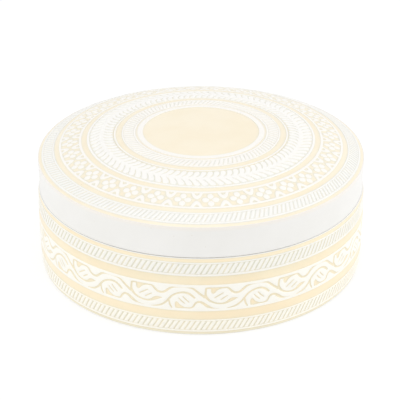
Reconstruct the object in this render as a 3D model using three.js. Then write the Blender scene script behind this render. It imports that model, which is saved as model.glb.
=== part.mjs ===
// A low round porcelain box with a domed lid that lifts off.
// Millimetres, +Z up, origin at the centre of the foot on the ground.
import * as THREE from 'three';

// Outside of the body
const bodyRadius = 65;
const bodyHeight = 32.2;
const bellyDraw = 0.45;
const footEdgeRadius = 0.9;
const shoulderEdge = 0.35;

// Foot ring and the hollow under the body
const footWidth = 5;
const footHollow = 1.6;
const footHollowSlope = 0.8;

// Inside of the body
const wallThickness = 4.6;
const floorThickness = 3.7;
const floorFillet = 4.5;

// Collar that stands up inside the lid and keeps it in place
const collarHeight = 4.2;
const collarThickness = 2.3;
const collarEdge = 0.5;
const collarBlend = 5;

// How the lid sits on the body
const seatGap = 0.3;
const fitClearance = 0.5;

// Outside of the lid
const lidSetback = 1;
const lidSideHeight = 11.4;
const lidShoulderWidth = 1.05;
const lidShoulderHeight = 1.15;
const domeRise = 8.15;
const domeFourthPowerShare = 0.71;
const lipEdge = 0.3;

// Inside of the lid
const skirtThickness = 3.4;
const crownThickness = 3.9;
const lidFillet = 5;

// Raised bands stand this far above the cream ground between them
const reliefHeight = 0.22;
const reliefSlope = 0.14;

// Body wall upwards: plain foot, lower rope, cream, vine, cream, upper rope, plain shoulder.
// The vine band takes the height that the others leave.
const plainFoot = 1.4;
const lowerRopeHeight = 5.4;
const lowerCreamHeight = 3.7;
const upperCreamHeight = 3.5;
const upperRopeHeight = 5.55;
const plainShoulder = 1.55;

// Lid crown inwards from the rim, cream grounds and raised bands by turns.
// The plain disc in the middle takes the radius that the others leave.
const rimCreamWidth = 0.45;
const rimRopeWidth = 4.95;
const outerCreamWidth = 1.8;
const latticeWidth = 9.05;
const middleCreamWidth = 2.3;
const chevronWidth = 10.2;
const filletGap = 0.35;
const filletWidth = 0.65;
const innerCreamWidth = 2.15;
const innerRopeWidth = 5.4;
const ringGap = 0.75;
const centreRingWidth = 2.15;

// Steps that the round forms are drawn with
const turnSteps = 84;
const edgeSteps = 3;
const filletSteps = 5;
const crownSteps = 6;

// Sizes that follow from those above
const lidRadius = bodyRadius - lidSetback;
const lidInnerRadius = lidRadius - skirtThickness;
const collarOuterRadius = lidInnerRadius - fitClearance;
const collarInnerRadius = collarOuterRadius - collarThickness;
const bowlRadius = bodyRadius - wallThickness;
const floorTop = footHollow + floorThickness;
const rimRadius = lidRadius - lidShoulderWidth;
const rimHeight = lidSideHeight + lidShoulderHeight;
const lidBase = bodyHeight + seatGap;

const bodyGlaze = new THREE.MeshStandardMaterial({
  color: 0xf8f1e2, roughness: 0.22, metalness: 0,
});
const lidGlaze = new THREE.MeshStandardMaterial({
  color: 0xfaf5ea, roughness: 0.22, metalness: 0,
});

// Points of an elliptical arc, its ends included
function arc(centreX, centreY, radiusX, radiusY, startAngle, endAngle, steps) {
  const curve = new THREE.EllipseCurve(
    centreX, centreY, radiusX, radiusY, startAngle, endAngle, endAngle < startAngle,
  );
  return curve.getPoints(steps);
}

// Points of a surface that rises by the relief height over each raised band.
// surface(place, rise) gives the point at one place; bands run from start to end.
function raisedBands(bands, surface) {
  const points = [];
  for (const band of bands) {
    const slope = Math.sign(band.end - band.start) * reliefSlope;
    points.push(
      surface(band.start, 0),
      surface(band.start + slope, reliefHeight),
      surface(band.end - slope, reliefHeight),
      surface(band.end, 0),
    );
  }
  return points;
}

function turned(name, profile, material) {
  const geometry = new THREE.LatheGeometry(profile, turnSteps);
  geometry.rotateX(Math.PI / 2);
  const mesh = new THREE.Mesh(geometry, material);
  mesh.name = name;
  return mesh;
}

// Cream ground of the body wall, fullest at half height
function wallPoint(height, rise) {
  const fromMiddle = (2 * height) / bodyHeight - 1;
  const ground = bodyRadius - reliefHeight - bellyDraw * fromMiddle * fromMiddle;
  return new THREE.Vector2(ground + rise, height);
}

function bodyBands() {
  const lowerRopeEnd = plainFoot + lowerRopeHeight;
  const upperRopeEnd = bodyHeight - plainShoulder;
  const upperRopeStart = upperRopeEnd - upperRopeHeight;
  return [
    { start: plainFoot, end: lowerRopeEnd },
    { start: lowerRopeEnd + lowerCreamHeight, end: upperRopeStart - upperCreamHeight },
    { start: upperRopeStart, end: upperRopeEnd },
  ];
}

// The body: foot ring, banded wall, shoulder, collar and bowl in one fired piece
function makeBody() {
  const footTop = wallPoint(footEdgeRadius, 0);
  const footOuterRadius = footTop.x - footEdgeRadius;
  const footInnerRadius = footOuterRadius - footWidth;
  const shoulder = wallPoint(bodyHeight - shoulderEdge, 0);
  const collarTop = bodyHeight + collarHeight;
  const profile = [
    new THREE.Vector2(0, footHollow),
    new THREE.Vector2(footInnerRadius - footHollowSlope, footHollow),
    new THREE.Vector2(footInnerRadius, 0),
    ...arc(footOuterRadius, footEdgeRadius, footEdgeRadius, footEdgeRadius,
      -Math.PI / 2, 0, edgeSteps),
    ...raisedBands(bodyBands(), wallPoint),
    shoulder,
    new THREE.Vector2(shoulder.x - shoulderEdge, bodyHeight),
    new THREE.Vector2(collarOuterRadius, bodyHeight),
    new THREE.Vector2(collarOuterRadius, collarTop - collarEdge),
    new THREE.Vector2(collarOuterRadius - collarEdge, collarTop),
    new THREE.Vector2(collarInnerRadius + collarEdge, collarTop),
    new THREE.Vector2(collarInnerRadius, collarTop - collarEdge),
    new THREE.Vector2(collarInnerRadius, bodyHeight),
    new THREE.Vector2(bowlRadius, bodyHeight - collarBlend),
    ...arc(bowlRadius - floorFillet, floorTop + floorFillet, floorFillet, floorFillet,
      0, -Math.PI / 2, filletSteps),
    new THREE.Vector2(0, floorTop),
  ];
  return turned('box_body', profile, bodyGlaze);
}

// Crown of the lid: nearly flat in the middle, falling faster towards the rim
function crownHeight(radius) {
  const share = radius / rimRadius;
  const square = share * share;
  const flat = domeFourthPowerShare * square * square;
  return rimHeight + domeRise * (1 - (1 - domeFourthPowerShare) * square - flat);
}

function crownPoint(radius, rise) {
  return new THREE.Vector2(radius, crownHeight(radius) + rise);
}

function lidBands() {
  const grounds = [
    rimCreamWidth, outerCreamWidth, middleCreamWidth, filletGap, innerCreamWidth, ringGap,
  ];
  const widths = [
    rimRopeWidth, latticeWidth, chevronWidth, filletWidth, innerRopeWidth, centreRingWidth,
  ];
  let radius = rimRadius;
  return widths.map((width, index) => {
    const start = radius - grounds[index];
    radius = start - width;
    return { start, end: radius };
  });
}

// The lid: skirt round the collar, rounded shoulder and banded crown in one fired piece
function makeLid() {
  const bands = lidBands();
  const discRadius = bands.at(-1).end;
  const filletCentre = lidInnerRadius - lidFillet;
  const filletTop = crownHeight(filletCentre) - crownThickness;
  const underside = [];
  for (let step = 0; step < crownSteps; step += 1) {
    const radius = (filletCentre * step) / crownSteps;
    underside.push(new THREE.Vector2(radius, crownHeight(radius) - crownThickness));
  }
  const profile = [
    ...underside,
    ...arc(filletCentre, filletTop - lidFillet, lidFillet, lidFillet,
      Math.PI / 2, 0, filletSteps),
    new THREE.Vector2(lidInnerRadius, lipEdge),
    new THREE.Vector2(lidInnerRadius + lipEdge, 0),
    new THREE.Vector2(lidRadius - lipEdge, 0),
    new THREE.Vector2(lidRadius, lipEdge),
    ...arc(rimRadius, lidSideHeight, lidShoulderWidth, lidShoulderHeight,
      0, Math.PI / 2, edgeSteps),
    ...raisedBands(bands, crownPoint),
    crownPoint(discRadius / 2, 0),
    crownPoint(0, 0),
  ];
  const lid = turned('lid', profile, lidGlaze);
  lid.position.z = lidBase;
  return lid;
}

const roundBox = new THREE.Group();
roundBox.add(makeBody(), makeLid());

export default roundBox;
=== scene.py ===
import math

import bpy
import numpy as np
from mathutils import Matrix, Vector
from mathutils.geometry import delaunay_2d_cdt


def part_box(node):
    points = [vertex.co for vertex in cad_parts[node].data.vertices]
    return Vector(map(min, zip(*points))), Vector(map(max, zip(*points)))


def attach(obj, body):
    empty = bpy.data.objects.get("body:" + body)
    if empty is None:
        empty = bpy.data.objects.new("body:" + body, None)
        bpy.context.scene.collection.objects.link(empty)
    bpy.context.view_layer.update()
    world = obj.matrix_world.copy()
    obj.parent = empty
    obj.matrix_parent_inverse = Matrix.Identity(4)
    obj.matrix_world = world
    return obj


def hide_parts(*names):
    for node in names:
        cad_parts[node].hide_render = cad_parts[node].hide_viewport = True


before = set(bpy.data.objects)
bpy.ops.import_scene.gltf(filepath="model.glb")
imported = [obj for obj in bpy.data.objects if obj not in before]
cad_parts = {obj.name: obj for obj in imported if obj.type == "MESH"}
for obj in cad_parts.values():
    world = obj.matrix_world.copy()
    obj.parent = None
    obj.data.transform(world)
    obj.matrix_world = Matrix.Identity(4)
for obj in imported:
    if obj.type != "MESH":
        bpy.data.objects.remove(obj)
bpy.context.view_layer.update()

# Everything below is worked out in millimetres and written to the meshes in metres
mm = 0.001
bodyLow, bodyHigh = (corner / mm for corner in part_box("box_body"))
lidLow, lidHigh = (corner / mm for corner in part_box("lid"))
handMade = np.random.default_rng(41)  # small unevenness of the hand-finished mould

# What both pieces share
porcelain = {
    "relief": 0.22,      # height of the raised bands over the cream ground
    "flank": 0.14,       # width of the rounded flank of a fillet
    "margin": 0.3,       # how far a band runs on under the ground beside it
    "marginFlat": 0.13,  # stretch of the margin before it dips
    "sink": 0.3,         # how far it dips
    "coverDepth": 0.35,  # how far the shell lies back where a band covers it
    "backDepth": 0.85,   # how deep a band's hidden back lies in the wall
    "poolReach": 0.24,   # how far the glaze gathers at the foot of the relief
}

body = {
    "radius": bodyHigh.x,
    "collarTop": bodyHigh.z,
    "collarHeight": 4.2,
    "collarOuter": 60.1,
    "collarInner": 57.8,
    "collarEdge": 0.5,
    "collarBlend": 5.0,
    "collarRound": 1.5,
    "bowlRadius": 60.4,
    "bowlRound": 2.0,
    "floorTop": 5.3,
    "floorFillet": 4.5,
    "belly": 0.45,
    "footEdge": 0.9,
    "footInnerEdge": 0.3,
    "footWidth": 5.0,
    "footHollow": 1.6,
    "footSlope": 0.8,
    "hollowEdge": 0.6,
    "shoulderEdge": 0.12,
    "shoulderWidth": 0.5,        # glazed strip of the shoulder outside the bare seat
    "shoulderRaise": 0.14,       # closes the gap under the lid that the fit leaves
    "shoulderWarp": 0.14,        # the fired shoulder rises towards both sides and closes it more
    "seatEdge": 0.25,
}
body["height"] = body["collarTop"] - body["collarHeight"]

lid = {
    "radius": lidHigh.x,
    "base": lidLow.z,
    "top": lidHigh.z,
    "rimRadius": lidHigh.x - 1.05,
    "rimHeight": 12.55,          # from the lower lip to the edge of the crown
    "sideHeight": 11.4,
    "shoulderHeight": 0.9,
    "shoulderEdge": 1.3,
    "fourthPower": 0.71,         # share of the fourth power in the curve of the crown
    "innerRadius": 60.6,
    "crownThickness": 3.9,
    "innerFillet": 5.0,
    "bareHeight": 3.0,           # bare clay inside the skirt, up from the lip
    "lipEdge": 0.14,
}
lid["rise"] = lid["top"] - lid["base"] - lid["rimHeight"]


# Ground surfaces that the relief stands on

def onWall(height, rise):
    # Point on the body wall at a height above the table, raised by rise
    fromMiddle = 2 * height / body["height"] - 1
    ground = body["radius"] - porcelain["relief"] - body["belly"] * fromMiddle ** 2
    slope = -4 * body["belly"] * fromMiddle / body["height"]
    length = np.hypot(1, slope)
    return ground + rise / length, height - rise * slope / length


def onCrown(radius, rise):
    # Point on the crown of the lid at a distance from the axis, raised by rise
    share = radius / lid["rimRadius"]
    curved = lid["fourthPower"]
    fall = (1 - curved) * share ** 2 + curved * share ** 4
    ground = lid["base"] + lid["rimHeight"] + lid["rise"] * (1 - fall)
    steep = 2 * (1 - curved) * share + 4 * curved * share ** 3
    slope = -lid["rise"] * steep / lid["rimRadius"]
    length = np.hypot(1, slope)
    return radius - rise * slope / length, ground + rise / length


def smoothStep(low, high, value):
    share = np.clip((value - low) / (high - low), 0, 1)
    return share * share * (3 - 2 * share)


# Mesh making

def addMesh(name, points, faces, uvs, marks, finish, materials):
    # faces is an array of quads, a triangle repeats its last corner
    triangle = faces[:, 2] == faces[:, 3]
    corners = np.ones(faces.shape, bool)
    corners[triangle, 3] = False
    counts = np.where(triangle, 3, 4)
    mesh = bpy.data.meshes.new(name)
    mesh.vertices.add(len(points))
    mesh.vertices.foreach_set("co", (points * mm).astype(np.float32).ravel())
    loops = faces[corners]
    mesh.loops.add(len(loops))
    mesh.loops.foreach_set("vertex_index", loops.astype(np.int32))
    mesh.polygons.add(len(faces))
    starts = np.concatenate([[0], np.cumsum(counts)[:-1]])
    mesh.polygons.foreach_set("loop_start", starts.astype(np.int32))
    mesh.update(calc_edges=True)
    mesh.polygons.foreach_set("use_smooth", np.ones(len(faces), bool))
    layer = mesh.uv_layers.new(name="OFBake")
    layer.uv.foreach_set("vector", uvs[corners].astype(np.float32).ravel())
    for mark, values in marks.items():
        data = mesh.attributes.new(mark, "FLOAT", "POINT").data
        data.foreach_set("value", values.astype(np.float32).ravel())
    for material in materials:
        mesh.materials.append(material)
    mesh.polygons.foreach_set("material_index", finish.astype(np.int32))
    mesh.update()
    piece = bpy.data.objects.new(name, mesh)
    bpy.context.scene.collection.objects.link(piece)
    print("made", name, int(counts.sum() - 2 * len(counts)), "triangles")
    return piece


def gridFaces(rows, columns, closedRows):
    # Quads of a grid that closes on itself round the axis, and also across it for a ring
    rowSteps = rows if closedRows else rows - 1
    row, column = np.meshgrid(np.arange(rowSteps), np.arange(columns), indexing="ij")
    nextRow = (row + 1) % rows
    nextColumn = (column + 1) % columns
    quads = np.stack([
        row * columns + column,
        row * columns + nextColumn,
        nextRow * columns + nextColumn,
        nextRow * columns + column,
    ], -1)
    return quads.reshape(-1, 4), row.ravel(), column.ravel()


def texturePlace(across, up, strip, strips):
    # A ring is unrolled and cut into strips that lie one above another in the square
    margin = 0.004
    u = margin + across * (1 - 2 * margin)
    v = (strip + margin * strips + up * (1 - 2 * margin * strips)) / strips
    return np.stack([u, v + 0 * u], -1)


def stripUvs(row, column, rowPlaces, columns, strips):
    perStrip = columns / strips
    strip = np.floor(column / perStrip)
    left = (column - strip * perStrip) / perStrip
    right = (column + 1 - strip * perStrip) / perStrip
    low, high = rowPlaces[row], rowPlaces[row + 1]
    across = np.stack([left, right, right, left], -1)
    up = np.stack([low, low, high, high], -1)
    return texturePlace(across, up, strip[:, None], strips)


def aroundAxis(radius, turn, height):
    # turn is 0 at the front and grows towards the right
    return np.stack([radius * np.sin(turn), -radius * np.cos(turn), height], -1).reshape(-1, 3)


def turnedPiece(spec, profile, marks, finish, materials, warp=None):
    # profile runs from axis to axis; its first and last points lie on the axis.
    # warp is how far each point rises towards the left and right sides
    inner = profile[1:-1]
    rows, columns = len(inner), spec["turnSteps"]
    turn = 2 * np.pi * np.arange(columns) / columns
    height = inner[:, 1:] + 0 * turn
    if warp is not None:
        towardsSide = smoothStep(0, 0.7, np.sin(turn) ** 2)
        height = height + warp[1:-1, None] * towardsSide
    ring = aroundAxis(inner[:, :1], turn, height)
    points = np.concatenate([ring, [[0, 0, profile[0, 1]], [0, 0, profile[-1, 1]]]])
    quads, row, column = gridFaces(rows, columns, False)
    lengths = np.hypot(*np.diff(profile, axis=0).T)
    places = np.concatenate([[0], np.cumsum(lengths)]) / lengths.sum()
    uvs = stripUvs(row, column, places[1:-1], columns, 1)
    around = np.arange(columns)
    after = (around + 1) % columns
    zero = 0 * around
    bottom = rows * columns
    lastRow = bottom - columns
    firstFan = np.stack([bottom + zero, after, around, around], -1)
    lastFan = np.stack([bottom + 1 + zero, lastRow + around, lastRow + after, lastRow + after], -1)
    firstUv = stripUvs(zero, around, places[:2], columns, 1)[:, [0, 2, 3, 3]]
    lastUv = stripUvs(zero, around, places[-2:], columns, 1)[:, [3, 0, 1, 1]]
    faces = np.concatenate([quads, firstFan, lastFan])
    allUvs = np.concatenate([uvs, firstUv, lastUv])
    perFace = np.concatenate([finish[1:-1][row], finish[0] + zero, finish[-2] + zero])
    perPoint = {
        mark: np.concatenate([np.repeat(values[1:-1], columns), values[[0, -1]]])
        for mark, values in marks.items()
    }
    return addMesh(spec["name"], points, faces, allUvs, perPoint, perFace, materials)


def poolAndShadeBeside(gap):
    # How much glaze has gathered at a distance from the foot of the relief. Inside a band it is full, so
    # narrow grooves there take the pool colour, which in ropes and chevrons is partly painted shade
    return np.exp(-np.maximum(gap, 0) / porcelain["poolReach"])


def dipOutside(place, low, high):
    # Carries a band's margins down under the ground outside low and high
    outside = np.maximum(low - place, place - high)
    dip = smoothStep(porcelain["marginFlat"], porcelain["margin"], outside)
    return -dip * porcelain["sink"] / porcelain["relief"]


def bandPiece(spec, surface, places, heights, columnShare, material):
    # A closed ring: the carved front, and a plain back that lies hidden in the wall.
    # heights is one repeat, row by row, as a share of the relief
    count = spec["count"]
    columns = len(columnShare) * count
    share = (np.arange(count)[:, None] + columnShare).ravel() / count
    lean = spec["slant"] * (places - spec["upright"]) / spec["slantReach"]
    turn = np.radians(spec["phase"]) + 2 * np.pi * share + np.radians(lean)[:, None]
    uneven = 1 + spec["uneven"] * handMade.uniform(-1, 1, count)
    tall = np.tile(heights, (1, count))
    tall = np.where(tall > 0, tall * np.repeat(uneven, len(columnShare)), tall)
    tall = np.minimum(tall, 1)
    front = surface(places[:, None], tall * porcelain["relief"])
    back = surface(places[[-1, 0]][:, None], -porcelain["backDepth"] + 0 * share)
    radius = np.concatenate([front[0] + 0 * turn, back[0] + 0 * share])
    height = np.concatenate([front[1] + 0 * turn, back[1] + 0 * share])
    turn = np.concatenate([turn, turn[[-1, 0]]])
    faces, row, column = gridFaces(len(radius), columns, True)
    middle = np.stack([radius.mean(1), height.mean(1)], -1)
    lengths = np.hypot(*(np.roll(middle, -1, 0) - middle).T)
    along = np.concatenate([[0], np.cumsum(lengths)]) / lengths.sum()
    uvs = stripUvs(row, column, along, columns, spec["strips"])
    if spec["outwards"]:
        faces, uvs = faces[:, ::-1], uvs[:, ::-1]
    outside = np.maximum(spec["low"] - places, places - spec["high"])[:, None]
    marks = {
        "relief": np.concatenate([tall, 0 * tall[:2]]),
        "poolAndShade": np.concatenate([poolAndShadeBeside(outside) + 0 * tall, 0 * tall[:2]]),
    }
    points = aroundAxis(radius, turn, height)
    return addMesh(spec["name"], points, faces, uvs, marks, np.zeros(len(faces)), [material])


def rowPlaces(low, high, fineSpots, fine=0.07, coarse=0.24, reach=0.26):
    # Rows across a band, close together where the surface turns
    places = [low]
    while places[-1] < high - fine:
        near = min(abs(places[-1] - spot) for spot in fineSpots) < reach
        places.append(places[-1] + (fine if near else coarse))
    places[-1] = high
    return np.array(places)


def fillet(place, low, high):
    # A flank begins a little outside the fillet
    flank, before = porcelain["flank"], 0.02
    return smoothStep(low - before, low + flank, place) * smoothStep(-high - before, -high + flank, -place)


# Rows of slanted bars between two fillets. The bars stand upright at one place across the
# band, and lean by so many degrees of turn within slantReach of it
ropeStyle = {
    "barShare": 0.74,    # width of a bar, as a share of its repeat
    "barTop": 0.97,      # height of a bar, as a share of the relief
    "fullness": 0.8,     # the lower, the fuller the bars
    "groove": 0.12,      # height left between two bars
    "endRound": 0.34,    # length of a bar's rounded end
    "uneven": 0.05,
}
upperRope = {
    **ropeStyle, "name": "body_upper_rope",
    "low": 25.12, "high": 30.67, "lowFillet": 0.98, "highFillet": 0.66,
    "count": 205, "phase": -0.86, "slant": 1.9, "upright": 28.2, "slantReach": 3.8,
    "strips": 5, "outwards": False,
}
lowerRope = {
    **upperRope, "name": "body_lower_rope",
    "low": 1.4, "high": 6.8, "lowFillet": 0.86, "phase": 0.9, "upright": 4.3,
}
rimRope = {
    **ropeStyle, "name": "lid_rim_rope",
    "low": 57.55, "high": 62.5, "lowFillet": 0.72, "highFillet": 0.8,
    "count": 214, "phase": 0.26, "slant": -1.6, "upright": 59.9, "slantReach": 3.15,
    "endRound": 0.3, "strips": 2, "outwards": True,
}
innerRope = {
    **ropeStyle, "name": "lid_inner_rope",
    "low": 25.65, "high": 31.05, "lowFillet": 0.85, "highFillet": 0.68,
    "count": 101, "phase": -0.57, "slant": -3.0, "upright": 28.5, "slantReach": 3.53,
    "barShare": 0.78, "groove": 0.14, "endRound": 0.32, "strips": 1, "outwards": True,
}


def makeRope(spec, surface, material):
    margin = porcelain["margin"]
    barLow = spec["low"] + spec["lowFillet"]
    barHigh = spec["high"] - spec["highFillet"]
    spots = [spec["low"], barLow, barHigh, spec["high"]]
    places = rowPlaces(spec["low"] - margin, spec["high"] + margin, spots)
    # Columns stand closest at the steep sides of a bar
    half = spec["barShare"] / 2
    across = np.array([-1, -0.94, -0.8, -0.5, 0, 0.5, 0.8, 0.94, 1])
    columnShare = np.concatenate([[0], 0.5 + half * across])
    within = np.clip(np.abs(columnShare - 0.5) / half, 0, 1)
    bar = np.sqrt(1 - within ** 2) ** spec["fullness"]
    fromEnd = np.minimum(places - barLow, barHigh - places)
    end = np.clip(fromEnd / spec["endRound"], 0, 1)
    rounding = np.sqrt(1 - (1 - end) ** 2)
    bars = spec["groove"] + (spec["barTop"] - spec["groove"]) * rounding[:, None] * bar
    edges = np.maximum(fillet(places, spec["low"], barLow), fillet(places, barHigh, spec["high"]))
    heights = np.maximum(np.where(fromEnd[:, None] > 0, bars, 0), edges[:, None])
    heights = heights + dipOutside(places, spec["low"], spec["high"])[:, None]
    return bandPiece(spec, surface, places, heights, columnShare, material)


# Carved bands: a repeat is measured as the distance to the nearest raised edge,
# and its triangles follow lines of equal distance, so that every edge runs smooth

farOff = 99.0  # stands for no edge anywhere near
tiling = {
    "fewest": 4,         # a contour of fewer points is left out
    "touch": 1e-6,       # a point nearer to the side of a repeat lies on it
    "sideStep": 0.13,    # least step along the side of a repeat
    "rowPitch": 0.87,    # from one row of loose points to the next, as a share of the fill
    "clear": 0.32,       # room round a contour that stays free of them, as a share of the fill
}


def smoothCurve(points, steps=4):
    # Catmull-Rom curve through the points; extra numbers, such as widths, follow along
    fixed = np.array(points, float)
    ends = np.concatenate([[2 * fixed[0] - fixed[1]], fixed, [2 * fixed[-1] - fixed[-2]]])
    curve = []
    for before, start, end, after in zip(ends, ends[1:], ends[2:], ends[3:]):
        for t in np.arange(steps) / steps:
            curve.append(0.5 * (
                2 * start
                + (end - before) * t
                + (2 * before - 5 * start + 4 * end - after) * t ** 2
                + (3 * start - before - 3 * end + after) * t ** 3
            ))
    curve.append(fixed[-1])
    return np.array(curve)


def distanceToLine(line, x, y):
    # A line with a third number per point is that wide on each side
    nearest = np.full(x.shape, farOff)
    for start, end in zip(line, line[1:]):
        along = end[:2] - start[:2]
        length = along @ along
        if length == 0:
            continue
        share = np.clip(((x - start[0]) * along[0] + (y - start[1]) * along[1]) / length, 0, 1)
        gap = np.hypot(x - start[0] - share * along[0], y - start[1] - share * along[1])
        if len(start) > 2:
            gap = gap - start[2] - share * (end[2] - start[2])
        nearest = np.minimum(nearest, gap)
    return nearest


def depthInPatch(outline, x, y):
    # Distance to the closed outline, positive inside
    closed = np.concatenate([outline, outline[:1]])
    inside = np.zeros(x.shape, bool)
    for start, end in zip(closed, closed[1:]):
        crosses = (start[1] > y) != (end[1] > y)
        rise = end[1] - start[1]
        reach = start[0] + (y - start[1]) * (end[0] - start[0]) / (rise if rise else 1)
        inside ^= crosses & (x < reach)
    return distanceToLine(closed, x, y) * np.where(inside, 1, -1)


def contourLines(values, level):
    # Joined lines where the grid of values crosses the level, in grid steps
    value = values - level
    above = value > 0
    corners = above[:-1, :-1].astype(int) + above[1:, :-1] + above[:-1, 1:] + above[1:, 1:]
    links = {}
    for row, column in zip(*np.nonzero((corners > 0) & (corners < 4))):
        ring = [(row, column), (row, column + 1), (row + 1, column + 1), (row + 1, column)]
        sides = zip(ring, ring[1:] + ring[:1])
        found = [tuple(sorted(pair)) for pair in sides if above[pair[0]] != above[pair[1]]]
        for first, second in zip(found[::2], found[1::2]):
            links.setdefault(first, []).append(second)
            links.setdefault(second, []).append(first)
    lines = []
    unused = set(links)
    for start in [key for key in links if len(links[key]) == 1] + list(links):
        if start not in unused:
            continue
        keys = [start]
        unused.discard(start)
        while True:
            following = [key for key in links[keys[-1]] if key in unused]
            if not following:
                break
            keys.append(following[0])
            unused.discard(following[0])
        line = []
        for low, high in keys:
            share = value[low] / (value[low] - value[high])
            line.append((low[1] + share * (high[1] - low[1]), low[0] + share * (high[0] - low[0])))
        lines.append((np.array(line), len(links[start]) == 2))
    return lines


def evenSteps(line, closed, step):
    if closed:
        line = np.concatenate([line, line[:1]])
    lengths = np.concatenate([[0], np.cumsum(np.hypot(*np.diff(line, axis=0).T))])
    count = max(4 if closed else 1, round(lengths[-1] / step))
    places = np.linspace(0, lengths[-1], count + 1)
    even = np.stack([np.interp(places, lengths, line[:, axis]) for axis in (0, 1)], -1)
    return even[:-1] if closed else even


def evenSides(rims, low, high, fill):
    # The two sides of a repeat meet the next one, so they have the same places
    kept = []
    for up in sorted([*rims, *np.arange(low, high, fill)]):
        crossing = any(abs(up - other) < 1e-9 for other in rims)
        if not kept or up - kept[-1][0] > (1e-4 if crossing and kept[-1][1] else tiling["sideStep"]):
            kept.append((up, crossing))
        elif crossing and not kept[-1][1]:
            kept[-1] = (up, True)
    return np.array([up for up, crossing in kept])


def loosePlaces(spec, measure, width, low, high):
    # Points that fill the wide places between the contours
    fill = spec["fill"]
    loose = []
    for line, up in enumerate(np.arange(low + fill, high - fill / 2, fill * tiling["rowPitch"])):
        start = fill * (0.5 if line % 2 else 0.9)
        loose += [(place, up) for place in np.arange(start, width - fill * 0.4, fill)]
    loose = np.array(loose)
    wide = np.ones(len(loose), bool)
    for field, levels in zip(measure(loose[:, 0], loose[:, 1]), spec["levels"]):
        for level in levels:
            wide &= np.abs(field - level) > tiling["clear"] * fill
    return [tuple(place) for place in loose[wide]]


def makeTile(spec, measure):
    # One repeat as triangles over the unrolled band: across from 0 to width, and up
    width = 2 * math.pi * spec["reference"] / spec["count"]
    low = spec["low"] - porcelain["margin"]
    high = spec["high"] + porcelain["margin"]
    columns = round(width / spec["grid"])
    rows = round((high - low) / spec["grid"])
    x, y = np.meshgrid(np.arange(columns + 1) * width / columns, np.linspace(low, high, rows + 1))
    fields = measure(x, y)
    for field in fields:
        field[:, -1] = field[:, 0]
    points, known, edges = [], [], []
    rims = {0.0: [low, high], width: [low, high]}

    def addLine(line, mark, closed):
        steps = list(range(len(points), len(points) + len(line)))
        points.extend(tuple(place) for place in line)
        known.extend([mark] * len(line))
        edges.extend(zip(steps, steps[1:] + (steps[:1] if closed else [])))
        return [points[steps[0]], points[steps[-1]]]

    for index, levels in enumerate(spec["levels"]):
        for level in levels:
            for line, closed in contourLines(fields[index], level):
                line = line * [width / columns, (high - low) / rows] + [0, low]
                if len(line) < tiling["fewest"]:
                    continue
                ends = addLine(evenSteps(line, closed, spec["step"]), (index, level), closed)
                if not closed:
                    for side in rims:
                        rims[side] += [up for place, up in ends if abs(place - side) < tiling["touch"]]
    sides = evenSides(rims[0.0], low, high, spec["fill"])
    for number, place in enumerate(points):
        for side in rims:
            if abs(place[0] - side) < tiling["touch"]:
                points[number] = (side, float(sides[np.abs(sides - place[1]).argmin()]))
    for side in rims:
        addLine([(side, float(up)) for up in sides], None, False)
    across = np.linspace(0, width, spec["acrossSteps"] + 1)
    for up in (low, high):
        addLine([(float(place), up) for place in across], None, False)
    loose = loosePlaces(spec, measure, width, low, high)
    points += loose
    known += [None] * len(loose)
    found = delaunay_2d_cdt([Vector(place) for place in points], edges, [], 0, 1e-5)
    places = np.array([tuple(place) for place in found[0]])
    values = [field.copy() for field in measure(places[:, 0], places[:, 1])]
    for number, originals in enumerate(found[3]):
        for original in originals:
            if known[original]:
                index, level = known[original]
                values[index][number] = level

    def inOrder(chosen, axis):
        row = np.nonzero(chosen)[0]
        return row[np.argsort(places[row, axis])]

    tile = {
        "width": width, "places": places, "triangles": np.array(found[2]), "values": values,
        "left": inOrder(np.abs(places[:, 0]) < 1e-5, 1),
        "right": inOrder(np.abs(places[:, 0] - width) < 1e-5, 1),
        "bottom": inOrder(np.abs(places[:, 1] - low) < 1e-5, 0),
        "top": inOrder(np.abs(places[:, 1] - high) < 1e-5, 0),
    }
    for field in values:
        field[tile["right"]] = field[tile["left"]]
    return tile


def slowWave(turn, waves):
    # Unevenness that comes round to where it began
    return sum(size * np.sin(times * turn + start) for times, size, start in waves)


def spreadTurn(spec, share):
    # spread widens the repeats at the front and narrows them at the back
    turn = 2 * np.pi * share + np.radians(spec["phase"])
    return turn + spec.get("spread", 0) * np.sin(turn)


def carvedUvs(spec, tile, steps):
    # The front takes most of each strip and the hidden back the rest
    places, strips = tile["places"], spec["strips"]
    perStrip = spec["count"] / strips
    repeat = np.arange(spec["count"])[:, None]
    strip = np.floor(repeat / perStrip)
    lengthUp = places[:, 1].max() - places[:, 1].min()
    depth = porcelain["backDepth"]
    whole = 2 * lengthUp + 2 * depth
    across = (repeat + places[:, 0] / tile["width"] - strip * perStrip) / perStrip
    up = (places[:, 1] - places[:, 1].min()) / whole
    front = texturePlace(across, up, strip, strips)[:, tile["triangles"]].reshape(-1, 3, 2)
    uvs = [np.concatenate([front, front[:, 2:]], 1)]
    levels = np.cumsum([lengthUp, depth, lengthUp, depth]) / whole
    start = (repeat + np.arange(steps) / steps - strip * perStrip) / perStrip
    end = start + 1 / steps / perStrip
    for low, high in zip(levels, levels[1:]):
        corners = [(end, low), (start, low), (start, high), (end, high)]
        quads = [texturePlace(across, up, strip, strips) for across, up in corners]
        uvs.append(np.stack(quads, -2).reshape(-1, 4, 2))
    return np.concatenate(uvs)


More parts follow.
